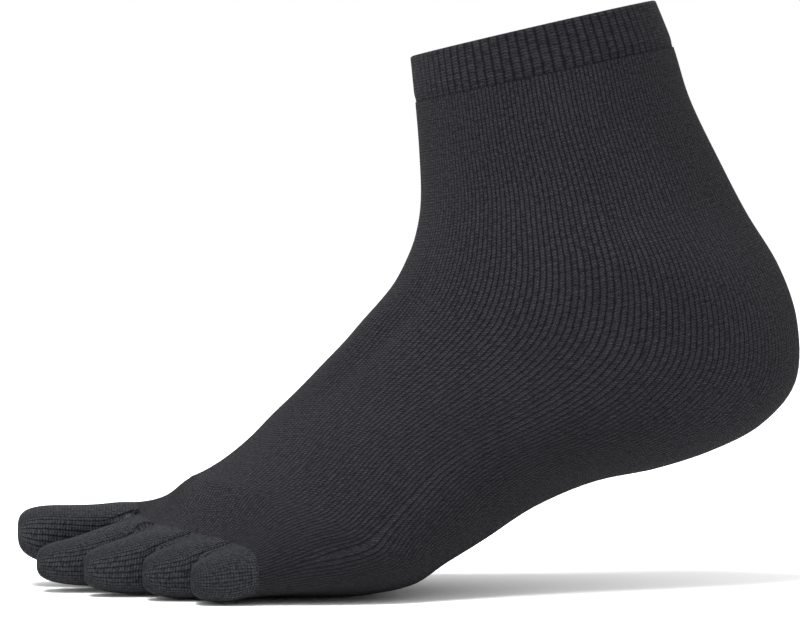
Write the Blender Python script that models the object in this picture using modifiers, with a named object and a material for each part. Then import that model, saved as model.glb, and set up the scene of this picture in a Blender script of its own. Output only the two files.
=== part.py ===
"""Ankle-high toe sock, left, in the form it takes when worn with the heel raised.

Metres, +Z up. The toes point to -X, the little toe is on the -Y side.
The origin is the middle of the ankle, inside the hollow.
"""
import math
from collections import namedtuple

import bmesh
import bpy
from mathutils import Vector

# Lengths and heights
FOOT_LENGTH = 0.235       # back of the heel to the tip of the big toe
SOCK_HEIGHT = 0.1765      # floor to the highest point of the cuff
HEEL_REACH = 0.0659       # middle of the ankle to the back of the heel
ANKLE_HEIGHT = 0.0966     # middle of the ankle above the floor
TOE_HEIGHT = 0.0254       # top of the big toe above the floor

# Widths, side to side
LEG_WIDTH = 0.062
HEEL_WIDTH = 0.066
BALL_WIDTH = 0.090
TOE_SPAN = 0.085          # over the five toes, at their roots

# Cloth
WALL = 0.0012             # plain knit
CUFF_WALL = 0.0020        # turned rib, two layers
RIB_DEPTH = 0.0005        # crest above valley
RIB_PITCH = 0.0025
LIP = 0.0005              # how far the turned edge draws in
LIP_END = 0.06            # section where it has reached the full rib
SEAM_GAP = 0.0004         # between neighbouring pieces
ROOT_GAP = 0.0006         # between foot and toes, whose walls lean towards each other inside

# Mesh: columns run round the sock, from the outer side over the top and back underneath
COLUMNS = 48
HALF = COLUMNS // 2
FOOT_STEPS = 8
FOREFOOT_STEPS = 6
SIDE_WALL_STEPS = 3       # round the flat side where two toes face each other

# One row for each section, from the cuff down the leg, round the heel and out to the toe roots.
# front and back are the section's two ends in side view: x from the back of the heel as a share
# of FOOT_LENGTH, z from the floor as a share of SOCK_HEIGHT. width is a share of the width named
# by girth. skew is how far the outer side lies behind, and tilt how far it lies higher, for each unit
# across. ridge moves the top towards the big toe, as a share of the width. front_round and
# back_round are the exponents of the outline, 2 for an ellipse and more for a fuller one.
Section = namedtuple(
    "Section", "name front_x front_z back_x back_z girth width"
    " skew tilt ridge front_round back_round")
SECTIONS = (
    Section("cuff_top",    0.506, 0.906, 0.193, 1.000, "leg",  1.00, 0.00, 0.05, 0.00, 2.10, 2.00),
    Section("cuff_foot",   0.500, 0.827, 0.168, 0.920, "leg",  1.00, 0.00, 0.05, 0.00, 2.10, 2.00),
    Section("leg_middle",  0.495, 0.745, 0.145, 0.829, "leg",  1.02, 0.00, 0.04, 0.00, 2.10, 1.95),
    Section("leg_low",     0.493, 0.660, 0.102, 0.717, "leg",  1.06, 0.00, 0.03, 0.00, 2.10, 1.85),
    Section("ankle",       0.500, 0.600, 0.068, 0.635, "heel", 1.02, 0.00, 0.02, 0.00, 2.10, 1.80),
    Section("heel_top",    0.513, 0.554, 0.026, 0.545, "heel", 1.04, 0.00, 0.01, 0.01, 2.10, 1.85),
    Section("heel_back",   0.528, 0.517, 0.002, 0.450, "heel", 1.03, 0.00, 0.00, 0.02, 2.10, 1.95),
    Section("heel_round",  0.546, 0.487, 0.004, 0.346, "heel", 1.00, 0.00, 0.00, 0.03, 2.10, 2.05),
    Section("heel_base",   0.567, 0.456, 0.048, 0.274, "heel", 0.98, 0.00, 0.00, 0.04, 2.10, 2.10),
    Section("heel_front",  0.590, 0.420, 0.113, 0.230, "heel", 1.00, 0.00, 0.00, 0.05, 2.10, 2.15),
    Section("arch_back",   0.615, 0.384, 0.191, 0.199, "heel", 1.04, 0.01, 0.00, 0.07, 2.10, 2.20),
    Section("arch",        0.647, 0.337, 0.274, 0.179, "ball", 0.80, 0.03, 0.00, 0.10, 2.10, 2.25),
    Section("arch_front",  0.676, 0.296, 0.354, 0.139, "ball", 0.86, 0.06, 0.00, 0.13, 2.10, 2.30),
    Section("instep",      0.704, 0.253, 0.425, 0.086, "ball", 0.92, 0.12, 0.00, 0.15, 2.10, 2.40),
    Section("ball_back",   0.730, 0.219, 0.488, 0.045, "ball", 0.97, 0.20, 0.00, 0.17, 2.15, 2.50),
    Section("ball",        0.752, 0.197, 0.548, 0.013, "ball", 1.00, 0.28, 0.00, 0.18, 2.20, 3.00),
    Section("tread",       0.771, 0.185, 0.621, 0.000, "ball", 1.00, 0.32, 0.00, 0.18, 2.25, 3.50),
    Section("tread_front", 0.791, 0.176, 0.693, 0.000, "ball", 0.99, 0.35, 0.00, 0.18, 2.30, 4.00),
    Section("toe_grooves", 0.809, 0.168, 0.766, 0.000, "ball", 0.97, 0.38, 0.00, 0.17, 2.40, 4.00),
    Section("toe_roots",   0.825, 0.156, 0.825, 0.000, "ball", 0.95, 0.39, 0.00, 0.16, 2.40, 4.00),
)
WIDTHS = {"leg": LEG_WIDTH, "heel": HEEL_WIDTH, "ball": BALL_WIDTH}
CUFF_FOOT = 1.0           # section where the cuff meets the leg
GORE = 5.95               # section of the heel's gore line, from side point to side point
HEEL_UP = 1.60            # how many sections the pocket reaches above the gore at the back
HEEL_DOWN = 4.20          # and below it
SIDE_COLUMN = 0.0         # where the pocket's points lie, on the outer side
POINT_END = 0.55          # columns from a side point to the pocket's blunt end
TOE_ROOTS = len(SECTIONS) - 1.0
BALL_BACK = 13.5          # section where the foot's tube is parted behind the ball
SPREAD_START = 11.0       # sections where the columns start to gather towards the toes
INNER_SKEW = 0.2          # share of the skew that the inner side takes
SKEW_BEND = 0.13          # how softly it changes across the middle, as a share of BALL_WIDTH
GROOVE_START = 16.0       # section where the grooves between the toes start
ROOT_PITCH = 0.0030       # least distance between sections near the toe roots

# Soft rises and dents: place by section and column, reach in sections and columns,
# height as a share of HEEL_WIDTH.
Dent = namedtuple("Dent", "name section column section_reach column_reach height")
DENTS = (
    Dent("outer_ankle_bone", 4.9, -1.0, 1.10, 3.0, 0.040),
    Dent("inner_ankle_bone", 4.5, 25.0, 1.10, 3.0, 0.045),
    Dent("outer_tendon_hollow", 4.2, -7.0, 1.60, 2.6, -0.030),
    Dent("inner_tendon_hollow", 4.2, 31.0, 1.60, 2.6, -0.030),
    Dent("instep_crease", 8.6, 8.6, 2.00, 0.9, -0.014),
    Dent("instep_ridge", 8.4, 10.6, 2.20, 1.2, 0.010),
)

# One row for each toe, from the outer side. width is a share of TOE_SPAN and columns the number
# of columns over its top. outer_web and tip are x from the back of the heel, as shares of
# FOOT_LENGTH. Heights are shares of TOE_HEIGHT above the floor, and arch is the rise of the top
# between root and tip. swing is the tip's shift towards the big toe's side as a share of
# TOE_SPAN, and blunt is the exponent of the tip.
Toe = namedtuple(
    "Toe", "name width columns outer_web tip root_top root_low tip_top tip_low arch swing blunt")
TOES = (
    Toe("little_toe", 0.178, 5, 0.725, 0.811, 0.66, 0.00, 0.54, 0.00, 0.02, 0.020, 3.4),
    Toe("fourth_toe", 0.170, 4, 0.752, 0.864, 0.72, 0.00, 0.58, 0.00, 0.02, 0.010, 3.6),
    Toe("third_toe",  0.174, 4, 0.794, 0.931, 0.79, 0.01, 0.61, 0.00, 0.02, 0.005, 3.6),
    Toe("second_toe", 0.192, 4, 0.832, 0.984, 0.85, 0.02, 0.62, 0.04, 0.01, 0.000, 3.6),
    Toe("big_toe",    0.286, 7, 0.842, 1.000, 1.02, 0.03, 1.06, 0.20, -0.10, -0.020, 3.4),
)
INNER_SIDE_WEB = 0.826    # x of the root on the big toe's inner side
TOE_CUT = 0.84            # a toe's root section is cut off at this share of its half width
TOE_ROUND = 2.6           # exponent of a toe's outline
TOE_TIP_WIDTH = 1.00      # half width near the tip, as a share of half the toe's room
ROOT_LEAD = 0.0008        # first stretch of a toe, in line with the foot
TOE_STEPS = (0.15, 0.29, 0.44, 0.62, 0.78, 0.89, 0.965)

KNIT_COLOUR = (0.022, 0.022, 0.026, 1.0)
RIB_COLOUR = (0.018, 0.018, 0.021, 1.0)
TOE_COLOUR = (0.026, 0.026, 0.031, 1.0)
KNIT_ROUGHNESS = 0.92


def clear_objects():
    """Empty the scene."""
    for item in list(bpy.data.objects):
        bpy.data.objects.remove(item, do_unlink=True)


def make_collection(name):
    """A collection for the sock's pieces."""
    collection = bpy.data.collections.new(name)
    bpy.context.scene.collection.children.link(collection)
    return collection


def make_material(name, colour):
    """Matt knitted yarn."""
    material = bpy.data.materials.new(name)
    material.use_nodes = True
    shader = material.node_tree.nodes["Principled BSDF"]
    shader.inputs["Base Color"].default_value = colour
    shader.inputs["Roughness"].default_value = KNIT_ROUGHNESS
    shader.inputs["Metallic"].default_value = 0.0
    return material


def ease(x):
    """Smooth step from 0 to 1."""
    x = min(1.0, max(0.0, x))
    return x * x * (3.0 - 2.0 * x)


def signed_power(x, exponent):
    """A power that keeps the sign."""
    return math.copysign(abs(x) ** exponent, x)


def column_of(column_values, position):
    """Read a table column at a fractional row, through a Catmull-Rom curve."""
    last = len(column_values) - 1
    row = min(int(position), last - 1)
    f = position - row
    before = column_values[max(row - 1, 0)]
    first = column_values[row]
    second = column_values[row + 1]
    after = column_values[min(row + 2, last)]
    return first + 0.5 * f * (
        second - before
        + f * (2 * before - 5 * first + 4 * second - after
               + f * (3 * (first - second) + after - before)))


HALF_WIDTHS = [WIDTHS[row.girth] * row.width / 2 for row in SECTIONS]
FRONT_XS = [HEEL_REACH - row.front_x * FOOT_LENGTH for row in SECTIONS]
FRONT_ZS = [row.front_z * SOCK_HEIGHT - ANKLE_HEIGHT for row in SECTIONS]
BACK_XS = [HEEL_REACH - row.back_x * FOOT_LENGTH for row in SECTIONS]
BACK_ZS = [row.back_z * SOCK_HEIGHT - ANKLE_HEIGHT for row in SECTIONS]
SKEWS = [row.skew for row in SECTIONS]
TILTS = [row.tilt for row in SECTIONS]
RIDGES = [row.ridge for row in SECTIONS]
FRONT_ROUNDS = [row.front_round for row in SECTIONS]
BACK_ROUNDS = [row.back_round for row in SECTIONS]


def toe_lines():
    """y and x of the lines between the toes, from the outer side, and the column of each."""
    ys, xs, columns = [-TOE_SPAN / 2], [], [0]
    for toe in TOES:
        ys.append(ys[-1] + toe.width * TOE_SPAN)
        columns.append(columns[-1] + toe.columns)
        xs.append(HEEL_REACH - toe.outer_web * FOOT_LENGTH)
    xs.append(HEEL_REACH - INNER_SIDE_WEB * FOOT_LENGTH)
    return ys, xs, columns


LINE_YS, LINE_XS, LINE_COLUMNS = toe_lines()
CUT_ANGLE = math.acos(TOE_CUT ** (TOE_ROUND / 2))


def between(value, knots, results):
    """Straight interpolation in a short list of knots."""
    for i in range(len(knots) - 1):
        if value <= knots[i + 1]:
            f = (value - knots[i]) / (knots[i + 1] - knots[i])
            return results[i] + f * (results[i + 1] - results[i])
    return results[-1]


def fold_column(column):
    """Column on the top half, and +1 for the top half or -1 for the underside."""
    column = column % COLUMNS
    if column <= HALF:
        return column, 1.0
    return COLUMNS - column, -1.0


def spread_angle(column, spread):
    """Angle of a top-half column: even round the leg, gathered by toes at their roots."""
    even = math.pi * column / HALF
    half = TOE_SPAN / 2
    at_lines = [math.acos(max(-1.0, min(1.0, -y / half))) for y in LINE_YS]
    gathered = between(column, LINE_COLUMNS, at_lines)
    return even + spread * (gathered - even)


def toe_outline(index):
    """Middle, half width and half height of a toe's root section, with its cut angles.

    The section is cut off flat where it faces its neighbours, and round on a free side.
    """
    toe = TOES[index]
    left, right = LINE_YS[index], LINE_YS[index + 1]
    room = right - left
    first, last = index == 0, index == len(TOES) - 1
    free = first or last
    half_width = room / (1 + TOE_CUT) if free else room / (2 * TOE_CUT)
    if first:
        middle = left + half_width
    elif last:
        middle = right - half_width
    else:
        middle = (left + right) / 2
    start = math.pi if first else math.pi - CUT_ANGLE
    end = 0.0 if last else CUT_ANGLE
    top = toe.root_top * TOE_HEIGHT - ANKLE_HEIGHT
    low = toe.root_low * TOE_HEIGHT - ANKLE_HEIGHT
    return middle, half_width, (top + low) / 2, (top - low) / 2, start, end


def outline_point(middle, half_width, height, half_height, angle):
    """y and z on a full oval."""
    power = 2.0 / TOE_ROUND
    y = middle + half_width * signed_power(math.cos(angle), power)
    z = height + half_height * signed_power(math.sin(angle), power)
    return y, z


def root_point(column):
    """Point of the five-lobed section at the toe roots."""
    top_column, side = fold_column(column)
    hits = []
    for index in range(len(TOES)):
        if LINE_COLUMNS[index] <= top_column <= LINE_COLUMNS[index + 1]:
            middle, half_width, height, half_height, start, end = toe_outline(index)
            f = (top_column - LINE_COLUMNS[index]) / TOES[index].columns
            angle = side * (start + f * (end - start))
            hits.append(outline_point(middle, half_width, height, half_height, angle))
    y = sum(hit[0] for hit in hits) / len(hits)
    z = sum(hit[1] for hit in hits) / len(hits)
    return Vector((between(y, LINE_YS, LINE_XS), y, z))


def oval_point(section, column):
    """Point of the plain oval section."""
    top_column, side = fold_column(column)
    spread = ease((section - SPREAD_START) / (TOE_ROOTS - SPREAD_START))
    angle = spread_angle(top_column, spread)
    rounds = FRONT_ROUNDS if side > 0 else BACK_ROUNDS
    power = 2.0 / column_of(rounds, section)
    across = -signed_power(math.cos(angle), power)
    along = side * abs(math.sin(angle)) ** power
    half_width = column_of(HALF_WIDTHS, section)
    y = half_width * (across + 2 * column_of(RIDGES, section) * max(0.0, along)
                      * (1.0 - abs(across)))
    front = Vector((column_of(FRONT_XS, section), 0, column_of(FRONT_ZS, section)))
    back = Vector((column_of(BACK_XS, section), 0, column_of(BACK_ZS, section)))
    point = (front + back) / 2 + along * (front - back) / 2
    point.y = y
    inner = INNER_SKEW
    bend = SKEW_BEND * BALL_WIDTH
    lag = (1 + inner) / 2 * y - (1 - inner) / 2 * (math.hypot(y, bend) - bend)
    point.x -= column_of(SKEWS, section) * lag
    point.z -= column_of(TILTS, section) * y
    return point


def base_point(section, column):
    """The smooth skin, with the grooves between the toes."""
    groove = ease((section - GROOVE_START) / (TOE_ROOTS - GROOVE_START))
    if groove <= 0.0:
        return oval_point(section, column)
    root = root_point(column)
    point = oval_point(section, column).lerp(root, groove)
    left = TOE_ROOTS - section
    limit = root.x + left * ROOT_PITCH
    soft = 0.5 * left * ROOT_PITCH
    point.x = (point.x + limit + math.hypot(point.x - limit, soft)) / 2
    return point


def skin_normal(section, column):
    """Outward direction of the smooth skin."""
    step = 0.05
    s0, s1 = max(0.0, section - step), min(TOE_ROOTS, section + step)
    down = base_point(s1, column) - base_point(s0, column)
    round_ = base_point(section, column + step) - base_point(section, column - step)
    return round_.cross(down).normalized()


def rise(section, column):
    """Height of the soft rises and dents over the smooth skin."""
    total = 0.0
    for dent in DENTS:
        ds = (section - dent.section) / dent.section_reach
        dc = (column - dent.column + HALF) % COLUMNS - HALF
        dc /= dent.column_reach
        total += dent.height * HEEL_WIDTH * math.exp(-ds * ds - dc * dc)
    return total


def skin_point(section, column, lift=0.0):
    """The sock's outer skin, lifted off it by lift."""
    height = rise(section, column) + lift
    return base_point(section, column) + height * skin_normal(section, column)


def section_step(section, column, along, distance):
    """How many sections make a gap of this distance beside a seam that runs along."""
    step = 0.05
    s0, s1 = max(0.0, section - step), min(TOE_ROOTS, section + step)
    rate = (base_point(s1, column) - base_point(s0, column)) / (s1 - s0)
    across = rate.cross(along.normalized()).length
    return distance / across


def backness(column):
    """0 over the instep, rising from the pocket's side points to 1 at the back."""
    top_column, side = fold_column(column - SIDE_COLUMN)
    if side > 0:
        return 0.0
    return math.sin(math.pi * top_column / HALF)


def seam_section(column, reach):
    """Section of a seam at a column: the gore's, moved by reach at the back."""
    return GORE + reach * backness(column)


def seam_edge(column, reach, side):
    """Section of a piece's edge beside the seam, half a gap away on the given side."""
    step = 0.25
    here = seam_section(column, reach)
    before = base_point(seam_section(column - step, reach), column - step)
    after = base_point(seam_section(column + step, reach), column + step)
    return here + side * section_step(here, column, after - before, SEAM_GAP / 2)


def level_edge(section, column, side):
    """Section of a piece's edge beside a level seam."""
    along = base_point(section, column + 0.25) - base_point(section, column - 0.25)
    return section + side * section_step(section, column, along, SEAM_GAP / 2)


def skin_object(name, rows, closed, material, collection, wall, pole=None):
    """A piece from rows of points: an open surface, with the cloth's wall added inwards."""
    mesh = bpy.data.meshes.new(name)
    cage = bmesh.new()
    rings = [[cage.verts.new(point) for point in row] for row in rows]
    count = len(rings[0])
    spans = count if closed else count - 1
    for upper, lower in zip(rings, rings[1:]):
        for i in range(spans):
            j = (i + 1) % count
            cage.faces.new((upper[i], upper[j], lower[j], lower[i]))
    if pole is not None:
        tip = cage.verts.new(pole)
        last = rings[-1]
        for i in range(spans):
            cage.faces.new((last[i], last[(i + 1) % count], tip))
    cage.to_mesh(mesh)
    cage.free()
    mesh.shade_smooth()
    mesh.set_sharp_from_angle(angle=math.radians(50))
    mesh.materials.append(material)
    piece = bpy.data.objects.new(name, mesh)
    collection.objects.link(piece)
    shell = piece.modifiers.new("cloth", "SOLIDIFY")
    shell.thickness = wall
    shell.offset = -1.0
    shell.use_even_offset = True
    return piece


def spaced(start, end, steps):
    """Values from start to end."""
    return [start + (end - start) * i / steps for i in range(steps + 1)]


def make_cuff(collection):
    """The turned rib: crests and valleys round the leg opening, and a drawn-in lip."""
    girth = sum((base_point(0.5, c + 1) - base_point(0.5, c)).length for c in range(COLUMNS))
    ribs = round(girth / RIB_PITCH)
    columns = [i * COLUMNS / (2 * ribs) for i in range(2 * ribs)]
    rows = [[skin_point(0.0, c, -LIP) for c in columns]]
    for level in (LIP_END, 0.5, None):
        row = []
        for i, column in enumerate(columns):
            crest = 0.5 if i % 2 == 0 else -0.5
            section = level_edge(CUFF_FOOT, column, -1) if level is None else level
            row.append(skin_point(section, column, crest * RIB_DEPTH))
        rows.append(row)
    material = make_material("rib_knit", RIB_COLOUR)
    return skin_object("cuff", rows, True, material, collection, CUFF_WALL)


def make_leg(collection):
    """The tube from the cuff to the instep in front and the heel pocket behind."""
    steps = 8
    rings = []
    for k in range(steps + 1):
        ring = []
        for column in range(COLUMNS):
            top = level_edge(CUFF_FOOT, column, 1)
            end = seam_edge(column, -HEEL_UP, -1)
            ring.append(skin_point(top + (end - top) * k / steps, column))
        rings.append(ring)
    return skin_object("leg", rings, True, make_material("leg_knit", KNIT_COLOUR), collection, WALL)


def make_heel(collection):
    """The pocket round the back of the heel, from one side point to the other."""
    steps = 12
    columns = [HALF + POINT_END] + list(range(HALF + 1, COLUMNS)) + [COLUMNS - POINT_END]
    rings = []
    for k in range(steps + 1):
        ring = []
        for column in columns:
            top = seam_edge(column, -HEEL_UP, 1)
            end = seam_edge(column, HEEL_DOWN, -1)
            ring.append(skin_point(top + (end - top) * k / steps, column))
        rings.append(ring)
    material = make_material("heel_knit", KNIT_COLOUR)
    return skin_object("heel_pocket", rings, False, material, collection, WALL)


def make_foot(collection):
    """The tube over the instep and the arch, from the leg and heel seams to the ball."""
    rings = []
    for k in range(FOOT_STEPS + 1):
        ring = []
        for column in range(COLUMNS):
            start = seam_edge(column, HEEL_DOWN, 1)
            end = level_edge(BALL_BACK, column, -1)
            ring.append(skin_point(start + (end - start) * k / FOOT_STEPS, column))
        rings.append(ring)
    material = make_material("foot_knit", KNIT_COLOUR)
    return skin_object("foot", rings, True, material, collection, WALL)


def forefoot_point(column, k):
    """Point of the forefoot at step k of FOREFOOT_STEPS, from the ball to the toe roots."""
    start = level_edge(BALL_BACK, column, 1)
    return skin_point(start + (TOE_ROOTS - start) * k / FOREFOOT_STEPS, column)


def make_forefoot(collection):
    """The tube round the ball, up to the toe roots."""
    rings = [[forefoot_point(column, k) for column in range(COLUMNS)]
             for k in range(FOREFOOT_STEPS + 1)]
    material = make_material("forefoot_knit", KNIT_COLOUR)
    return skin_object("forefoot", rings, True, material, collection, WALL)


def toe_loop(index):
    """Angles round a toe's section and the root column of each, None on a flat side."""
    toe = TOES[index]
    start, end = toe_outline(index)[4:]
    first, last = index == 0, index == len(TOES) - 1
    over = [(start + (end - start) * k / toe.columns, LINE_COLUMNS[index] + k)
            for k in range(toe.columns + 1)]
    under = [(-angle, COLUMNS - column) for angle, column in reversed(over)]
    loop = list(over)
    if last:
        loop += under[1:]
    else:
        loop += [(end - 2 * end * k / SIDE_WALL_STEPS, None) for k in range(1, SIDE_WALL_STEPS)]
        loop += under
    if first:
        return loop[:-1]
    turn = 2 * (math.pi - start)
    loop += [(-start - turn * k / SIDE_WALL_STEPS, None) for k in range(1, SIDE_WALL_STEPS)]
    return loop


def root_gap(column):
    """The step across the seam at the toe roots, straight on along the foot's skin."""
    along = (root_point(column + 0.5) - root_point(column - 0.5)).normalized()
    behind = root_point(column) - forefoot_point(column, FOREFOOT_STEPS - 1)
    normal = along.cross(behind).normalized()
    ahead = (Vector((-1, 0, 0)) + normal * normal.x).normalized()
    return ahead * ROOT_GAP / ahead.cross(along).length


def make_toe(index, material, collection):
    """One toe pocket, open into the foot and closed by a blunt tip."""
    toe = TOES[index]
    middle, half_width, height, half_height = toe_outline(index)[:4]
    left, right = LINE_YS[index] + SEAM_GAP / 2, LINE_YS[index + 1] - SEAM_GAP / 2
    tip_x = HEEL_REACH - toe.tip * FOOT_LENGTH
    tip_top = toe.tip_top * TOE_HEIGHT - ANKLE_HEIGHT
    tip_low = toe.tip_low * TOE_HEIGHT - ANKLE_HEIGHT
    tip_width = TOE_TIP_WIDTH * toe.width * TOE_SPAN / 2
    room_middle = (LINE_YS[index] + LINE_YS[index + 1]) / 2 + toe.swing * TOE_SPAN
    loop = toe_loop(index)

    root, lead = [], []
    for angle, column in loop:
        y, z = outline_point(middle, half_width, height, half_height, angle)
        y = min(max(y, left), right)
        point = Vector((between(y, LINE_YS, LINE_XS), y, z))
        gap = Vector((-ROOT_GAP, 0, 0))
        if column is not None:
            point.z = root_point(column).z
            gap = root_gap(column)
        root.append(point + gap)
        lead.append(point + gap + ROOT_LEAD * gap.normalized())
    for point in root + lead:
        point.y = min(max(point.y, left), right)
    rings = [root, lead]
    for step in TOE_STEPS:
        cap = (1.0 - step ** toe.blunt) ** (1.0 / toe.blunt)
        change = ease(step / 0.8)
        arch = toe.arch * TOE_HEIGHT / 2 * math.sin(math.pi * step)
        ring = []
        for (angle, column), base in zip(loop, root):
            y, z = outline_point(
                middle + (room_middle - middle) * change,
                (half_width + (tip_width - half_width) * change) * cap,
                height + ((tip_top + tip_low) / 2 - height) * change + arch,
                (half_height + ((tip_top - tip_low) / 2 - half_height) * change + arch) * cap,
                angle)
            y = min(max(y, left), right)
            ring.append(Vector((base.x + (tip_x - base.x) * step, y, z)))
        rings.append(ring)
    pole = Vector((tip_x, room_middle, (tip_top + tip_low) / 2))
    return skin_object(toe.name, rings, True, material, collection, WALL, pole)


def main():
    """Build the sock."""
    clear_objects()
    collection = make_collection("toe_sock")
    make_cuff(collection)
    make_leg(collection)
    make_heel(collection)
    make_foot(collection)
    make_forefoot(collection)
    for index, toe in enumerate(TOES):
        make_toe(index, make_material(toe.name + "_knit", TOE_COLOUR), collection)


main()
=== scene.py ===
"""Ankle-high toe sock in charcoal knit, left foot, as worn with the heel raised.

The knit is modelled as fabric: a flat grid is laid out with one column of stitches after the
other, wrapped round the sock's form, closed along its side and given its wall.
"""
import math
from collections import namedtuple

import bpy
import numpy as np
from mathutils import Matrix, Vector


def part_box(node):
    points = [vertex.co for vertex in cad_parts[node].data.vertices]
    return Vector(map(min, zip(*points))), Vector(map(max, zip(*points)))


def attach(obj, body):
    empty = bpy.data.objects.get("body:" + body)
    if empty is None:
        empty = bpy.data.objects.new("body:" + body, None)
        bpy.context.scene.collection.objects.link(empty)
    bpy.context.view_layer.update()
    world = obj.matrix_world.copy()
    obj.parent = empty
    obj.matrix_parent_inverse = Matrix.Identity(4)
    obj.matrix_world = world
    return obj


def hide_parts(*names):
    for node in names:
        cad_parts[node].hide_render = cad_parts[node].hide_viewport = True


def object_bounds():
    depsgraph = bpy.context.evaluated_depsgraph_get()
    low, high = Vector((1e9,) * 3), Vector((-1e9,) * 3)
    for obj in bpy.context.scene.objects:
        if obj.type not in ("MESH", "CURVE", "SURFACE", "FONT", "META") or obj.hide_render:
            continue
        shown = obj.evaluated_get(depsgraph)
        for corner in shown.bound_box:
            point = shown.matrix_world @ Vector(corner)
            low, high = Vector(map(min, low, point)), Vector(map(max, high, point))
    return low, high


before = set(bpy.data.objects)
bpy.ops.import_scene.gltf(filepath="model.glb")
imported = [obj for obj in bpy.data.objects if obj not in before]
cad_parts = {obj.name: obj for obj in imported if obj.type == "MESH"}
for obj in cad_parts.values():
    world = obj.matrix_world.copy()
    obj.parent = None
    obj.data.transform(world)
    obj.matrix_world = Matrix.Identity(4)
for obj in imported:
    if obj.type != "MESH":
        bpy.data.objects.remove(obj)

cad_low, cad_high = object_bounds()

# The sock's sizes, from the frame
RIB_DEPTH = 0.0005        # of the cuff in the frame
SEAM_GAP = 0.0004         # between its pieces
HEEL_SHARE = 0.944        # the heel's own part of the pocket's width, without the ankle bones
FOOT_LENGTH = cad_high.x - cad_low.x
HEEL_REACH = cad_high.x
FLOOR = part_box("forefoot")[0].z
SOCK_HEIGHT = cad_high.z - FLOOR
LEG_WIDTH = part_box("cuff")[1].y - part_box("cuff")[0].y - RIB_DEPTH
HEEL_WIDTH = HEEL_SHARE * (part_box("heel_pocket")[1].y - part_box("heel_pocket")[0].y)
BALL_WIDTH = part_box("forefoot")[1].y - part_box("forefoot")[0].y
TOE_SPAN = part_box("big_toe")[1].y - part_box("little_toe")[0].y + SEAM_GAP
TOE_HEIGHT = 0.0254

# Knit
COLUMNS = 48              # the form's own columns, from the outer side over the top and round
HALF = COLUMNS // 2
WALES = 192               # columns of stitches round leg and foot
SAMPLES = 4               # mesh columns in a wale
WALE_RELIEF = 0.00013     # crest above valley
COURSE = 0.00088          # height of a stitch
WALL = 0.0011
LEG_ROWS = 26
HEEL_ROWS = 42
FOOT_ROWS = 54
ROW_CROWDING = 1.4        # how much the foot's rows crowd towards the toes
RIBS = 84
RIB_SAMPLES = 8
RIB_RELIEF = 0.00034
CUFF_WALL = 0.0018
EDGE_ROLL = 0.0007        # how far the turned edge rolls in
EDGE_DEPTH = 0.07         # section where the roll ends
TIGHT_FOOT = 0.0004       # how far the cuff's foot draws in
TUCK_HEIGHT = 0.0004      # of the slanted tucks near the back of the cuff

# The form's sections, as in the frame: the two ends in side view as shares of length and height,
# width as a share of the named girth, then skew, tilt, ridge and the outline's exponents.
Section = namedtuple(
    "Section", "front_x front_z back_x back_z girth width skew tilt ridge front_round back_round")
SECTIONS = (
    Section(0.506, 0.906, 0.193, 1.000, "leg",  1.00, 0.00, 0.05, 0.00, 2.10, 2.00),
    Section(0.500, 0.827, 0.168, 0.920, "leg",  1.00, 0.00, 0.05, 0.00, 2.10, 2.00),
    Section(0.495, 0.745, 0.145, 0.829, "leg",  1.02, 0.00, 0.04, 0.00, 2.10, 1.95),
    Section(0.493, 0.660, 0.102, 0.717, "leg",  1.06, 0.00, 0.03, 0.00, 2.10, 1.85),
    Section(0.500, 0.600, 0.068, 0.635, "heel", 1.02, 0.00, 0.02, 0.00, 2.10, 1.80),
    Section(0.513, 0.554, 0.026, 0.545, "heel", 1.04, 0.00, 0.01, 0.01, 2.10, 1.85),
    Section(0.528, 0.517, 0.002, 0.450, "heel", 1.03, 0.00, 0.00, 0.02, 2.10, 1.95),
    Section(0.546, 0.487, 0.004, 0.346, "heel", 1.00, 0.00, 0.00, 0.03, 2.10, 2.05),
    Section(0.567, 0.456, 0.048, 0.274, "heel", 0.98, 0.00, 0.00, 0.04, 2.10, 2.10),
    Section(0.590, 0.420, 0.113, 0.230, "heel", 1.00, 0.00, 0.00, 0.05, 2.10, 2.15),
    Section(0.615, 0.384, 0.191, 0.199, "heel", 1.04, 0.01, 0.00, 0.07, 2.10, 2.20),
    Section(0.647, 0.337, 0.274, 0.179, "ball", 0.80, 0.03, 0.00, 0.10, 2.10, 2.25),
    Section(0.676, 0.296, 0.354, 0.139, "ball", 0.86, 0.06, 0.00, 0.13, 2.10, 2.30),
    Section(0.704, 0.253, 0.425, 0.086, "ball", 0.92, 0.12, 0.00, 0.15, 2.10, 2.40),
    Section(0.730, 0.219, 0.488, 0.045, "ball", 0.97, 0.20, 0.00, 0.17, 2.15, 2.50),
    Section(0.752, 0.197, 0.548, 0.013, "ball", 1.00, 0.28, 0.00, 0.18, 2.20, 3.00),
    Section(0.771, 0.185, 0.621, 0.000, "ball", 1.00, 0.32, 0.00, 0.18, 2.25, 3.50),
    Section(0.791, 0.176, 0.693, 0.000, "ball", 0.99, 0.35, 0.00, 0.18, 2.30, 4.00),
    Section(0.809, 0.168, 0.766, 0.000, "ball", 0.97, 0.38, 0.00, 0.17, 2.40, 4.00),
    Section(0.825, 0.156, 0.825, 0.000, "ball", 0.95, 0.39, 0.00, 0.16, 2.40, 4.00),
)
WIDTHS = {"leg": LEG_WIDTH, "heel": HEEL_WIDTH, "ball": BALL_WIDTH}
LAST = len(SECTIONS) - 1.0
CUFF_FOOT = 1.0
GORE = 5.95
HEEL_UP = 1.60
HEEL_DOWN = 4.20
SPREAD_START = 11.0
GROOVE_START = 16.0
INNER_SKEW = 0.2
SKEW_BEND = 0.13
ROOT_PITCH = 0.0030

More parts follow.
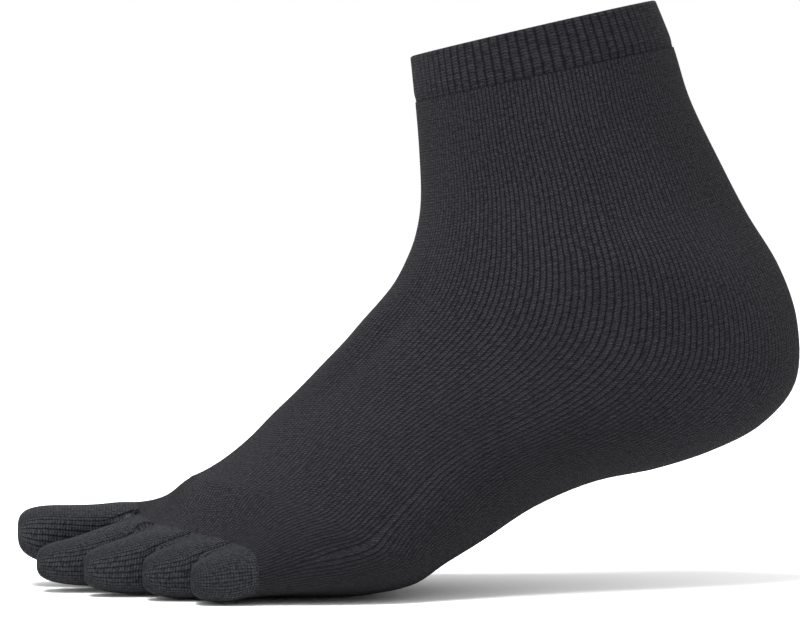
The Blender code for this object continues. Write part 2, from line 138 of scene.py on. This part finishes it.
# Soft rises and dents: section, column, their reaches, and the height in metres
Dent = namedtuple("Dent", "section column section_reach column_reach height")
DENTS = (
    Dent(4.9, -1.0, 1.10, 3.0, 0.0026),
    Dent(4.5, 25.0, 1.10, 3.0, 0.0030),
    Dent(4.2, -7.0, 1.60, 2.6, -0.0020),
    Dent(4.2, 31.0, 1.60, 2.6, -0.0020),
    Dent(8.6, 8.6, 2.00, 0.8, -0.0014),
    Dent(8.4, 10.4, 2.20, 1.0, 0.0012),
)

Toe = namedtuple(
    "Toe", "name width columns outer_web tip root_top root_low tip_top tip_low arch swing blunt")
TOES = (
    Toe("little_toe", 0.178, 5, 0.725, 0.811, 0.66, 0.00, 0.54, 0.00, 0.02, 0.020, 3.4),
    Toe("fourth_toe", 0.170, 4, 0.752, 0.864, 0.72, 0.00, 0.58, 0.00, 0.02, 0.010, 3.6),
    Toe("third_toe",  0.174, 4, 0.794, 0.931, 0.79, 0.01, 0.61, 0.00, 0.02, 0.005, 3.6),
    Toe("second_toe", 0.192, 4, 0.832, 0.984, 0.85, 0.02, 0.62, 0.04, 0.01, 0.000, 3.6),
    Toe("big_toe",    0.286, 7, 0.842, 1.000, 1.02, 0.03, 1.06, 0.20, -0.10, -0.020, 3.4),
)
INNER_SIDE_WEB = 0.826
TOE_CUT = 0.84
TOE_ROUND = 2.6
CUT_ANGLE = math.acos(TOE_CUT ** (TOE_ROUND / 2))
TOE_ROOM = 0.0002         # from a toe to the plane between it and its neighbour
TOE_ROWS = 44
JOIN_ROWS = 28            # rows of a toe that the foot runs into
JOIN_PASSES = 24          # how softly
FOOT_REACH = 0.011        # and how far from the roots
TOE_REACH = 0.005
SIDE_WALES = 7            # wales down the side of a toe that faces its neighbour


def ease(x):
    """Smooth step from 0 to 1."""
    x = np.clip(x, 0.0, 1.0)
    return x * x * (3.0 - 2.0 * x)


def signed_power(x, exponent):
    """A power that keeps the sign."""
    return np.sign(x) * np.abs(x) ** exponent


def column_of(values, position):
    """Read a table column at fractional rows, through a Catmull-Rom curve."""
    values = np.asarray(values, float)
    last = len(values) - 1
    row = np.clip(position.astype(int), 0, last - 1)
    f = position - row
    a, b = values[np.maximum(row - 1, 0)], values[row]
    c, d = values[row + 1], values[np.minimum(row + 2, last)]
    return b + 0.5 * f * (c - a + f * (2 * a - 5 * b + 4 * c - d + f * (3 * (b - c) + d - a)))


HALF_WIDTHS = [WIDTHS[row.girth] * row.width / 2 for row in SECTIONS]
FRONT_XS = [HEEL_REACH - row.front_x * FOOT_LENGTH for row in SECTIONS]
FRONT_ZS = [row.front_z * SOCK_HEIGHT + FLOOR for row in SECTIONS]
BACK_XS = [HEEL_REACH - row.back_x * FOOT_LENGTH for row in SECTIONS]
BACK_ZS = [row.back_z * SOCK_HEIGHT + FLOOR for row in SECTIONS]
LINE_COLUMNS = np.cumsum([0] + [toe.columns for toe in TOES])
LINE_YS = -TOE_SPAN / 2 + TOE_SPAN * np.cumsum([0.0] + [toe.width for toe in TOES])
LINE_XS = HEEL_REACH - FOOT_LENGTH * np.array([toe.outer_web for toe in TOES] + [INNER_SIDE_WEB])


def toe_outline(index):
    """Middle, half width, height and half height of a toe's root, with its two cut angles."""
    toe = TOES[index]
    left, right = LINE_YS[index], LINE_YS[index + 1]
    first, last = index == 0, index == len(TOES) - 1
    half_width = (right - left) / (1 + TOE_CUT if first or last else 2 * TOE_CUT)
    middle = left + half_width if first else right - half_width if last else (left + right) / 2
    start = math.pi if first else math.pi - CUT_ANGLE
    end = 0.0 if last else CUT_ANGLE
    top = toe.root_top * TOE_HEIGHT + FLOOR
    low = toe.root_low * TOE_HEIGHT + FLOOR
    return middle, half_width, (top + low) / 2, (top - low) / 2, start, end


def oval(middle, half_width, height, half_height, angle):
    """y and z on a toe's full outline."""
    power = 2.0 / TOE_ROUND
    y = middle + half_width * signed_power(np.cos(angle), power)
    z = height + half_height * signed_power(np.sin(angle), power)
    return y, z


def fold(column):
    """Column on the top half, and whether it is there."""
    column = np.mod(column, COLUMNS)
    return np.where(column <= HALF, column, COLUMNS - column), column <= HALF


def root_points(column):
    """The five-lobed section at the toe roots."""
    top, over = fold(column)
    side = np.where(over, 1.0, -1.0)
    total = np.zeros(column.shape + (2,))
    hits = np.zeros(column.shape)
    for index, toe in enumerate(TOES):
        middle, half_width, height, half_height, start, end = toe_outline(index)
        f = (top - LINE_COLUMNS[index]) / toe.columns
        here = (f >= -1e-9) & (f <= 1 + 1e-9)
        y, z = oval(middle, half_width, height, half_height, side * (start + f * (end - start)))
        total[here] += np.stack([y, z], -1)[here]
        hits += here
    y, z = np.moveaxis(total / hits[..., None], -1, 0)
    return np.stack([np.interp(y, LINE_YS, LINE_XS), y, z], -1)


def smooth_skin(section, column):
    """The form without its dents, at arrays of sections and columns."""
    top, over = fold(column)
    gather = ease((section - SPREAD_START) / (LAST - SPREAD_START))
    even = math.pi * top / HALF
    gathered = np.interp(top, LINE_COLUMNS, np.arccos(np.clip(-LINE_YS / (TOE_SPAN / 2), -1, 1)))
    angle = even + gather * (gathered - even)
    fronts = column_of([row.front_round for row in SECTIONS], section)
    backs = column_of([row.back_round for row in SECTIONS], section)
    power = 2.0 / np.where(over, fronts, backs)
    across = -signed_power(np.cos(angle), power)
    along = np.where(over, 1.0, -1.0) * np.abs(np.sin(angle)) ** power
    ridge = column_of([row.ridge for row in SECTIONS], section)
    y = column_of(HALF_WIDTHS, section) * (
        across + 2 * ridge * np.maximum(0.0, along) * (1.0 - np.abs(across)))
    front_x, front_z = column_of(FRONT_XS, section), column_of(FRONT_ZS, section)
    back_x, back_z = column_of(BACK_XS, section), column_of(BACK_ZS, section)
    x = (front_x + back_x) / 2 + along * (front_x - back_x) / 2
    z = (front_z + back_z) / 2 + along * (front_z - back_z) / 2
    bend = SKEW_BEND * BALL_WIDTH
    lag = (1 + INNER_SKEW) / 2 * y - (1 - INNER_SKEW) / 2 * (np.hypot(y, bend) - bend)
    x = x - column_of([row.skew for row in SECTIONS], section) * lag
    z = z - column_of([row.tilt for row in SECTIONS], section) * y
    point = np.stack([x, y, z], -1)
    groove = ease((section - GROOVE_START) / (LAST - GROOVE_START))[..., None]
    root = root_points(column)
    point = point + (root - point) * groove
    left = LAST - section
    limit = root[..., 0] + left * ROOT_PITCH
    held = (point[..., 0] + limit + np.hypot(point[..., 0] - limit, 0.5 * left * ROOT_PITCH)) / 2
    point[..., 0] = np.where(groove[..., 0] > 0, held, point[..., 0])
    return point


def normals_of(grid):
    """Outward directions over a grid of points, rows down the sock and columns round it."""
    down = np.gradient(grid, axis=0)
    across = np.gradient(grid, axis=1)
    normal = np.cross(across, down)
    return normal / np.maximum(np.linalg.norm(normal, axis=-1, keepdims=True), 1e-12)


def skin(section, column, lift=0.0):
    """The form with its dents, lifted off by lift."""
    step = 0.04
    low, high = np.maximum(section - step, 0), np.minimum(section + step, LAST)
    down = smooth_skin(high, column) - smooth_skin(low, column)
    across = smooth_skin(section, column + step) - smooth_skin(section, column - step)
    normal = np.cross(across, down)
    normal /= np.maximum(np.linalg.norm(normal, axis=-1, keepdims=True), 1e-12)
    rise = lift + np.zeros(section.shape)
    for dent in DENTS:
        ds = (section - dent.section) / dent.section_reach
        dc = (np.mod(column - dent.column + HALF, COLUMNS) - HALF) / dent.column_reach
        rise = rise + dent.height * np.exp(-ds * ds - dc * dc)
    return smooth_skin(section, column) + rise[..., None] * normal


def backness(column):
    """0 over the instep, rising from the heel pocket's side points to 1 at the back."""
    top, over = fold(column)
    return np.where(over, 0.0, np.sin(math.pi * top / HALF))


def wale_relief(wale):
    """Height of the rounded ridge that each column of stitches makes."""
    return WALE_RELIEF * (np.abs(np.cos(math.pi * wale)) ** 0.7 - 0.5)


def knit_piece(name, points, wales, courses, wall):
    """A flat grid wrapped to the given points, closed where they meet, and given its wall.

    wales and courses become the piece's UV map, in stitches.
    """
    rows, columns = points.shape[:2]
    bpy.ops.object.select_all(action="DESELECT")
    bpy.ops.mesh.primitive_grid_add(x_subdivisions=columns - 1, y_subdivisions=rows - 1, size=1.0)
    piece = bpy.context.object
    piece.name = name
    mesh = piece.data
    mesh.name = name
    flat = np.empty(len(mesh.vertices) * 3)
    mesh.vertices.foreach_get("co", flat)
    flat = flat.reshape(-1, 3)
    column = np.rint((flat[:, 0] + 0.5) * (columns - 1)).astype(int)
    row = np.rint((flat[:, 1] + 0.5) * (rows - 1)).astype(int)
    mesh.vertices.foreach_set("co", points[row, column].ravel())
    corner = np.empty(len(mesh.loops), int)
    mesh.loops.foreach_get("vertex_index", corner)
    layer = mesh.uv_layers[0]
    layer.name = "stitches"
    uv = np.stack([wales[row, column], courses[row, column]], -1)[corner]
    layer.data.foreach_set("uv", uv.ravel())
    mesh.update()
    bpy.ops.object.mode_set(mode="EDIT")
    bpy.ops.mesh.select_all(action="SELECT")
    bpy.ops.mesh.remove_doubles(threshold=1e-6)
    bpy.ops.object.mode_set(mode="OBJECT")
    cloth = piece.modifiers.new("cloth", "SOLIDIFY")
    cloth.thickness = wall
    cloth.offset = -1.0
    cloth.use_even_offset = False
    bpy.ops.object.modifier_apply(modifier="cloth")
    bpy.ops.object.shade_smooth_by_angle(angle=math.radians(75))
    return piece


def arc_courses(points, start=0.0):
    """Courses counted down each column, by its own length."""
    steps = np.linalg.norm(np.diff(points, axis=0), axis=-1)
    down = np.vstack([np.zeros(points.shape[1]), np.cumsum(steps, axis=0)])
    return start + down / COURSE


def rows_between(start, end, levels):
    """Sections of a grid whose rows run from start to end, given for each column."""
    return start + (end - start) * levels[:, None]


def edge_rows(count):
    """Even levels from 0 to 1, with one more close to each end, so that seams shade smoothly."""
    return np.concatenate([[0.0, 0.004], np.linspace(0, 1, count)[1:-1], [0.996, 1.0]])


def tube_columns():
    """Form columns and wale numbers of the mesh columns round leg and foot, from the inner side."""
    count = WALES * SAMPLES + 1
    return np.linspace(HALF, HALF + COLUMNS, count), np.linspace(0, WALES, count)


def spread(values, like):
    """Values for each column, repeated for each row."""
    return np.broadcast_to(values, like.shape)


def leg_form():
    """Sections, columns, wales and courses of the leg."""
    column, wale = tube_columns()
    section = rows_between(CUFF_FOOT, GORE - HEEL_UP * backness(column), edge_rows(LEG_ROWS))
    column, wale = spread(column, section), spread(wale, section)
    return section, column, wale, arc_courses(skin(section, column))


def heel_form():
    """Sections, columns, wales and courses of the heel pocket."""
    column, wale = tube_columns()
    leg_end = leg_form()[3][-1]
    back = np.arange(WALES * SAMPLES // 2 + 1)
    around = column[back]
    section = rows_between(
        GORE - HEEL_UP * backness(around), GORE + HEEL_DOWN * backness(around), edge_rows(HEEL_ROWS))
    column, wale = spread(around, section), spread(wale[back], section)
    return section, column, wale, arc_courses(skin(section, column), leg_end[back])


def make_leg():
    """The tube from the rib to the instep in front and to the heel pocket behind."""
    section, column, wale, courses = leg_form()
    points = skin(section, column, wale_relief(wale))
    return knit_piece("leg", points, wale, courses, WALL)


def make_heel():
    """The pocket round the back of the heel, from one side point to the other."""
    section, column, wale, courses = heel_form()
    points = skin(section, column, wale_relief(wale))
    return knit_piece("heel_pocket", points, wale, courses, WALL)


def foot_form():
    """Smooth points, wales and courses of the foot, and how much relief each point has."""
    column, wale = tube_columns()
    levels = 1 - (1 - edge_rows(FOOT_ROWS)) ** ROW_CROWDING
    section = rows_between(GORE + HEEL_DOWN * backness(column), LAST, levels)
    column, wale = spread(column, section), spread(wale, section)
    start = leg_form()[3][-1].copy()
    heel_end = heel_form()[3][-1]
    start[:len(heel_end)] = heel_end
    points = skin(section, column)
    return points, wale, start, ease((LAST - section) / 0.8)


def toe_form(index):
    """Smooth points of a toe, and the foot's mesh column under each, -1 on a flat side."""
    toe = TOES[index]
    middle, half_width, height, half_height, start, end = toe_outline(index)
    left, right = LINE_YS[index] + TOE_ROOM, LINE_YS[index + 1] - TOE_ROOM
    tip_x = HEEL_REACH - toe.tip * FOOT_LENGTH
    tip_top = toe.tip_top * TOE_HEIGHT + FLOOR
    tip_low = toe.tip_low * TOE_HEIGHT + FLOOR
    tip_width = toe.width * TOE_SPAN / 2
    tip_middle = (LINE_YS[index] + LINE_YS[index + 1]) / 2 + toe.swing * TOE_SPAN
    angle, column = toe_loop(index)
    turned = int(np.argmin(np.abs(angle + math.pi / 2)))
    angle = np.append(np.roll(angle[:-1], -turned), angle[turned])
    column = np.append(np.roll(column[:-1], -turned), column[turned])
    step = np.sin(np.linspace(0, 1, TOE_ROWS) * math.pi / 2)[:, None] ** 1.15
    cap = np.maximum(1.0 - step ** toe.blunt, 0.0) ** (1.0 / toe.blunt)
    change = ease(step / 0.8)
    arch = toe.arch * TOE_HEIGHT / 2 * np.sin(math.pi * step)
    y, z = oval(
        middle + (tip_middle - middle) * change,
        (half_width + (tip_width - half_width) * change) * cap,
        height + ((tip_top + tip_low) / 2 - height) * change + arch,
        (half_height + ((tip_top - tip_low) / 2 - half_height) * change + arch) * cap,
        angle)
    y = np.clip(y, left, right)
    on_foot = ~np.isnan(column)
    root = root_points(np.where(on_foot, column, 0.0))
    z = z + np.where(on_foot, root[:, 2] - z[0], 0.0) * (1 - ease(step / 0.15))
    x = np.interp(y[0], LINE_YS, LINE_XS)
    form = np.stack([x + (tip_x - x) * step, y, z], -1)
    soft = spread(ease(step / 0.12) * 0.9, x + 0 * step)
    form[:, :-1] = blur_round(form[:, :-1], soft[:, :-1], (5, 3, 2, 1, 4, 2, 1))
    form[:, -1] = form[:, 0]
    form[-1] = (tip_x, tip_middle, (tip_top + tip_low) / 2)
    under = np.mod(np.where(on_foot, column, 0.0) - HALF, COLUMNS) * WALES * SAMPLES / COLUMNS
    return form, np.where(on_foot, np.rint(under).astype(int), -1)


def blur_round(grid, amount, strides):
    """Smooth closed rings of points, most where amount is 1."""
    for stride in strides:
        beside = (np.roll(grid, stride, axis=1) + np.roll(grid, -stride, axis=1)) / 2
        grid = grid + 0.5 * amount[..., None] * (beside - grid)
    return grid


def blur_along(grid, amount):
    """Smooth lines of points down their rows."""
    grid = grid.copy()
    middle = (grid[:-2] + grid[2:]) / 2
    grid[1:-1] += 0.5 * amount[1:-1, :, None] * (middle - grid[1:-1])
    return grid


def join_toes(foot, toes):
    """Let the cloth run softly from the foot's top and sole into each toe."""
    rows, count = len(foot), foot.shape[1] - 1
    total = np.zeros((JOIN_ROWS, count, 3))
    hits = np.zeros(count)
    for form, under in toes:
        on = np.flatnonzero(under >= 0)
        on = on[np.unique(under[on], return_index=True)[1]]
        total[:, under[on]] += form[1:JOIN_ROWS + 1, on]
        hits[under[on]] += 1
    whole = np.concatenate([foot[:, :-1], total / hits[:, None]])
    steps = np.linalg.norm(np.diff(whole, axis=0), axis=-1)
    way = np.vstack([np.zeros(count), np.cumsum(steps, axis=0)])
    way -= way[rows - 1]
    near = np.exp(-(way / np.where(way < 0, FOOT_REACH, TOE_REACH)) ** 2)
    soft = whole
    for _ in range(JOIN_PASSES):
        soft = blur_round(soft, near, (6, 3, 1))
        for _ in range(6):
            soft = blur_along(soft, near)
    shift = soft - whole
    for form, under in toes:
        on = np.flatnonzero(under >= 0)
        every = np.arange(form.shape[1])
        for axis in range(3):
            for row in range(JOIN_ROWS + 1):
                moved = shift[rows - 1 + row, under[on], axis]
                form[row, :, axis] += np.interp(every, on, moved)
    foot[:, :-1] = soft[:rows]
    foot[:, -1] = foot[:, 0]
    return foot, toes


def make_foot_and_toes():
    """The tube over instep, arch and ball, and the five toe pockets that it runs into."""
    foot, wale, start, depth = foot_form()
    foot, toes = join_toes(foot, [toe_form(index) for index in range(len(TOES))])
    courses = arc_courses(foot, start)
    points = foot + (wale_relief(wale) * depth)[..., None] * normals_of(foot)
    points[:, -1] = points[:, 0]
    points[-1] = foot[-1]
    pieces = [knit_piece("foot", points, wale, courses, WALL)]
    for toe, (form, under) in zip(TOES, toes):
        count = form.shape[1]
        wale = spread(np.arange(count) / SAMPLES, form[..., 0])
        level = np.linspace(0, 1, TOE_ROWS)[:, None]
        relief = wale_relief(wale) * ease(level / 0.15) * ease((1 - level) / 0.12)
        points = form + relief[..., None] * normals_of(form)
        points[0] = form[0]
        points[-1] = form[-1]
        points[:, -1] = points[:, 0]
        pieces.append(knit_piece(toe.name, points, wale, arc_courses(form), WALL))
    return pieces


def make_cuff():
    """The turned one-and-one rib round the opening, with its rolled edge and pulled ribs."""
    count = RIBS * RIB_SAMPLES
    column = np.linspace(HALF, HALF + COLUMNS, count + 1)
    rib = np.linspace(0, RIBS, count + 1)
    levels = np.concatenate([[0.0, 0.012, 0.035, 0.07], np.linspace(0.12, CUFF_FOOT, 16)])
    section = np.broadcast_to(levels[:, None], (len(levels), count + 1))
    column = np.broadcast_to(column, section.shape)
    rib = np.broadcast_to(rib, section.shape)
    crest = np.abs(np.cos(math.pi * rib)) ** 0.8 - 0.45
    roll = -EDGE_ROLL * (1 - ease(section / EDGE_DEPTH)) ** 1.5
    tight = -TIGHT_FOOT * ease((section - 0.80) / 0.20)
    near = np.exp(-((column - COLUMNS - 2.0) / 2.5) ** 2 - (section - 0.35) ** 2 / 0.05)
    tucks = TUCK_HEIGHT * np.sin(rib * 0.9 + section * 4.0) * near
    points = skin(section, column, RIB_RELIEF * crest + roll + tight + tucks)
    return knit_piece("cuff", points, rib, arc_courses(skin(section, column)), CUFF_WALL)


def toe_loop(index):
    """Angles and root columns round a toe, in mesh columns; nan where it faces a neighbour."""
    toe = TOES[index]
    start, end = toe_outline(index)[4:]
    first, last = index == 0, index == len(TOES) - 1
    per_column = WALES / COLUMNS
    steps = int(round(toe.columns * per_column)) * SAMPLES
    f = np.linspace(0, 1, steps + 1)
    over = start + (end - start) * f, LINE_COLUMNS[index] + f * toe.columns
    under = -over[0][::-1], COLUMNS - over[1][::-1]
    side = np.linspace(0, 1, SIDE_WALES * SAMPLES + 1)[1:-1]
    blank = np.full(len(side), np.nan)
    angles, columns = [over[0]], [over[1]]
    if not last:
        angles.append(end - 2 * end * side)
        columns.append(blank)
    angles.append(under[0][1:] if last else under[0])
    columns.append(under[1][1:] if last else under[1])
    if not first:
        angles.append(-start - 2 * (math.pi - start) * side)
        columns.append(blank)
        angles.append([start - 2 * math.pi])
        columns.append([over[1][0]])
    return np.concatenate(angles), np.concatenate(columns)


def socket(tree, name, kind, value=None, out=False):
    """A named input or output of a node group."""
    made = tree.interface.new_socket(name=name, in_out="OUTPUT" if out else "INPUT",
                                     socket_type=kind)
    if value is not None:
        made.default_value = value


def math_node(tree, operation, a, b=None, c=None):
    """A Math node fed by sockets or numbers."""
    node = tree.nodes.new("ShaderNodeMath")
    node.operation = operation
    for slot, value in zip(node.inputs, (a, b, c)):
        if value is None:
            continue
        if isinstance(value, (int, float)):
            slot.default_value = value
        else:
            tree.links.new(value, slot)
    return node.outputs[0]


def stitch_group():
    """Plain knit from the stitch map: V-shaped loops, the mask for the painted shade in the gaps
    between them, and yarn tone.
    """
    tree = bpy.data.node_groups.new("plain_stitches", "ShaderNodeTree")
    socket(tree, "Stitches", "NodeSocketVector")
    socket(tree, "Slant", "NodeSocketFloat", 0.55)
    socket(tree, "Unevenness", "NodeSocketFloat", 0.25)
    socket(tree, "Height", "NodeSocketFloat", out=True)
    socket(tree, "Gap_Shade", "NodeSocketFloat", out=True)
    socket(tree, "Tone", "NodeSocketFloat", out=True)
    given = tree.nodes.new("NodeGroupInput")
    result = tree.nodes.new("NodeGroupOutput")
    split = tree.nodes.new("ShaderNodeSeparateXYZ")
    tree.links.new(given.outputs["Stitches"], split.inputs[0])
    wander = tree.nodes.new("ShaderNodeTexNoise")
    wander.inputs["Scale"].default_value = 0.35
    wander.inputs["Detail"].default_value = 2.0
    tree.links.new(given.outputs["Stitches"], wander.inputs["Vector"])
    shift = math_node(tree, "MULTIPLY", math_node(tree, "SUBTRACT", wander.outputs[0], 0.5),
                      given.outputs["Unevenness"])
    wale = math_node(tree, "ADD", split.outputs[0], shift)
    across = math_node(tree, "PINGPONG", wale, 0.5)
    leg = math_node(tree, "MULTIPLY", across, math_node(
        tree, "MULTIPLY", given.outputs["Slant"], 2.0))
    course = math_node(tree, "ADD", split.outputs[1], leg)
    course = math_node(tree, "ADD", course, shift)
    wave = math_node(tree, "SINE", math_node(tree, "MULTIPLY", course, 2 * math.pi))
    loop = math_node(tree, "MULTIPLY_ADD", wave, 0.5, 0.5)
    arms = math_node(tree, "SINE", math_node(tree, "MULTIPLY", across, 2 * math.pi))
    arms = math_node(tree, "POWER", math_node(tree, "MAXIMUM", arms, 0.001), 0.6)
    arms = math_node(tree, "MULTIPLY_ADD", arms, 0.35, 0.65)
    body = math_node(tree, "SINE", math_node(tree, "MULTIPLY", across, math.pi))
    body = math_node(tree, "POWER", math_node(tree, "MAXIMUM", body, 0.001), 0.8)
    loop = math_node(tree, "MULTIPLY_ADD", loop, 0.6, 0.4)
    height = math_node(tree, "MULTIPLY", loop, math_node(tree, "MULTIPLY", arms, body))
    # Where the loops sink between stitches: the mask for the painted shade in the gaps.
    gap_shade = math_node(tree, "SUBTRACT", 1.0, math_node(tree, "POWER", height, 0.8))
    tone = tree.nodes.new("ShaderNodeTexNoise")
    tone.inputs["Scale"].default_value = 0.9
    tone.inputs["Detail"].default_value = 4.0
    tree.links.new(given.outputs["Stitches"], tone.inputs["Vector"])
    tree.links.new(height, result.inputs["Height"])
    tree.links.new(gap_shade, result.inputs["Gap_Shade"])
    tree.links.new(tone.outputs[0], result.inputs["Tone"])
    return tree


def fuzz_group():
    """Fine fibre grain and broad patches of wear, from the object's own place."""
    tree = bpy.data.node_groups.new("yarn_fuzz", "ShaderNodeTree")
    socket(tree, "Place", "NodeSocketVector")
    socket(tree, "Grain", "NodeSocketFloat", out=True)
    socket(tree, "Patches", "NodeSocketFloat", out=True)
    given = tree.nodes.new("NodeGroupInput")
    result = tree.nodes.new("NodeGroupOutput")
    for name, scale, detail in (("Grain", 2600.0, 5.0), ("Patches", 38.0, 3.0)):
        noise = tree.nodes.new("ShaderNodeTexNoise")
        noise.inputs["Scale"].default_value = scale
        noise.inputs["Detail"].default_value = detail
        tree.links.new(given.outputs["Place"], noise.inputs["Vector"])
        tree.links.new(noise.outputs[0], result.inputs[name])
    return tree


def knit_material(name, yarn, gap_shade, bump, slant, groups):
    """Matt charcoal yarn: lighter on the loops, with painted shade dark in the gaps, and a soft
    sheen.
    """
    stitches, fuzz = groups
    material = bpy.data.materials.new(name)
    material.use_nodes = True
    tree = material.node_tree
    shader = tree.nodes["Principled BSDF"]
    place = tree.nodes.new("ShaderNodeTexCoord")
    chart = tree.nodes.new("ShaderNodeUVMap")
    chart.uv_map = "stitches"
    knit = tree.nodes.new("ShaderNodeGroup")
    knit.node_tree = stitches
    knit.inputs["Slant"].default_value = slant
    tree.links.new(chart.outputs[0], knit.inputs["Stitches"])
    hair = tree.nodes.new("ShaderNodeGroup")
    hair.node_tree = fuzz
    tree.links.new(place.outputs["Object"], hair.inputs["Place"])
    tone = math_node(tree, "MULTIPLY_ADD", knit.outputs["Tone"], 2.2, -0.85)
    tone = math_node(tree, "ADD", tone, math_node(tree, "MULTIPLY", hair.outputs["Patches"], 0.4))
    tone = math_node(tree, "ADD", tone, math_node(
        tree, "MULTIPLY_ADD", hair.outputs["Grain"], 2.0, -0.8))
    lit = tree.nodes.new("ShaderNodeMix")
    lit.data_type = "RGBA"
    lit.inputs["A"].default_value = (*[c * 0.35 for c in yarn], 1.0)
    lit.inputs["B"].default_value = (*[c * 1.75 for c in yarn], 1.0)
    tree.links.new(tone, lit.inputs["Factor"])
    # Painted shade: the gaps between loops are coloured near black, standing in for the shade that
    # falls into them.
    dark = tree.nodes.new("ShaderNodeMix")
    dark.data_type = "RGBA"
    dark.inputs["B"].default_value = (*gap_shade, 1.0)
    tree.links.new(knit.outputs["Gap_Shade"], dark.inputs["Factor"])
    tree.links.new(lit.outputs["Result"], dark.inputs["A"])
    tree.links.new(dark.outputs["Result"], shader.inputs["Base Color"])
    rough = math_node(tree, "MULTIPLY_ADD", hair.outputs["Grain"], 0.2, 0.78)
    tree.links.new(rough, shader.inputs["Roughness"])
    relief = math_node(tree, "ADD", knit.outputs["Height"],
                       math_node(tree, "MULTIPLY", hair.outputs["Grain"], 0.35))
    bumps = tree.nodes.new("ShaderNodeBump")
    bumps.inputs["Distance"].default_value = bump
    bumps.inputs["Strength"].default_value = 0.9
    tree.links.new(relief, bumps.inputs["Height"])
    tree.links.new(bumps.outputs[0], shader.inputs["Normal"])
    shader.inputs["Sheen Weight"].default_value = 0.01
    shader.inputs["Sheen Roughness"].default_value = 0.55
    shader.inputs["Specular IOR Level"].default_value = 0.06
    return material


def dress(piece, material, *nodes, slot):
    """Give a piece its finish and put it in the place of its nodes."""
    piece.data.materials.clear()
    piece.data.materials.append(material)
    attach(piece, "root")
    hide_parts(*nodes)


def plain_material(name, colour, roughness):
    """Floor paint."""
    material = bpy.data.materials.new(name)
    material.use_nodes = True
    shader = material.node_tree.nodes["Principled BSDF"]
    shader.inputs["Base Color"].default_value = colour
    shader.inputs["Roughness"].default_value = roughness
    return material


def make_stage():
    """A plain pale floor, white surroundings and soft lamps."""
    bpy.ops.object.select_all(action="DESELECT")
    bpy.ops.mesh.primitive_plane_add(size=8.0, location=(0, 0, cad_low.z))
    floor = bpy.context.object
    floor.name = "floor"
    floor.data.materials.append(plain_material("pale_floor", (0.98, 0.98, 0.98, 1.0), 0.9))
    world = bpy.data.worlds.new("white_room")
    world.use_nodes = True
    world.node_tree.nodes["Background"].inputs["Color"].default_value = (1.0, 1.0, 1.0, 1.0)
    world.node_tree.nodes["Background"].inputs["Strength"].default_value = 1.0
    bpy.context.scene.world = world
    bpy.context.scene.view_settings.view_transform = "Standard"
    lamps = (
        ("top_lamp", (-0.45, -0.25, 1.4), 0.8, 40.0),
        ("front_lamp", (-1.3, -0.9, 0.7), 0.8, 3.0),
        ("back_lamp", (0.9, 0.8, 0.7), 0.8, 3.0),
    )
    for name, place, size, power in lamps:
        light = bpy.data.lights.new(name, "AREA")
        light.shape = "DISK"
        light.size = size
        light.energy = power
        lamp = bpy.data.objects.new(name, light)
        bpy.context.scene.collection.objects.link(lamp)
        lamp.location = place
        aim = Vector((-0.05, 0.0, -0.02)) - Vector(place)
        lamp.rotation_euler = aim.to_track_quat("-Z", "Y").to_euler()


def make_camera():
    """The photograph's view: from the little toe's side, a little towards the toes."""
    azimuth, elevation = math.radians(-10.0), math.radians(2.95)
    back = Vector((math.sin(azimuth) * math.cos(elevation),
                   -math.cos(azimuth) * math.cos(elevation), math.sin(elevation)))
    data = bpy.data.cameras.new("camera")
    data.lens = 223.4
    data.sensor_width = 36.0
    camera = bpy.data.objects.new("camera", data)
    camera.location = (-0.3153, -1.4663, 0.0626)
    camera.rotation_euler = back.to_track_quat("Z", "Y").to_euler()
    bpy.context.scene.collection.objects.link(camera)
    bpy.context.scene.camera = camera


def main():
    """Dress the sock."""
    make_camera()
    make_stage()
    groups = stitch_group(), fuzz_group()
    # The yarn's own colour, and a near-black colour painted into the gaps between loops as shade.
    yarn, gap_shade = (0.023, 0.023, 0.027), (0.0008, 0.0008, 0.0012)
    plain = knit_material("plain_knit", yarn, gap_shade, 0.00070, 0.55, groups)
    rib = knit_material("rib_knit", (0.018, 0.018, 0.021), gap_shade, 0.00022, 0.45, groups)
    # The toe yarn is painted lighter than the plain knit: a painted highlight for the light that
    # falls on the tops of the toes.
    toes = knit_material("toe_knit", (0.034, 0.035, 0.040), gap_shade, 0.00065, 0.35, groups)
    dress(make_cuff(), rib, "cuff", slot="rib_knit")
    dress(make_leg(), plain, "leg", slot="leg_knit")
    dress(make_heel(), plain, "heel_pocket", slot="heel_knit")
    foot, *toe_pieces = make_foot_and_toes()
    dress(foot, plain, "foot", "forefoot", slot="foot_knit")
    for toe, piece in zip(TOES, toe_pieces):
        dress(piece, toes, toe.name, slot="toe_knit")


main()
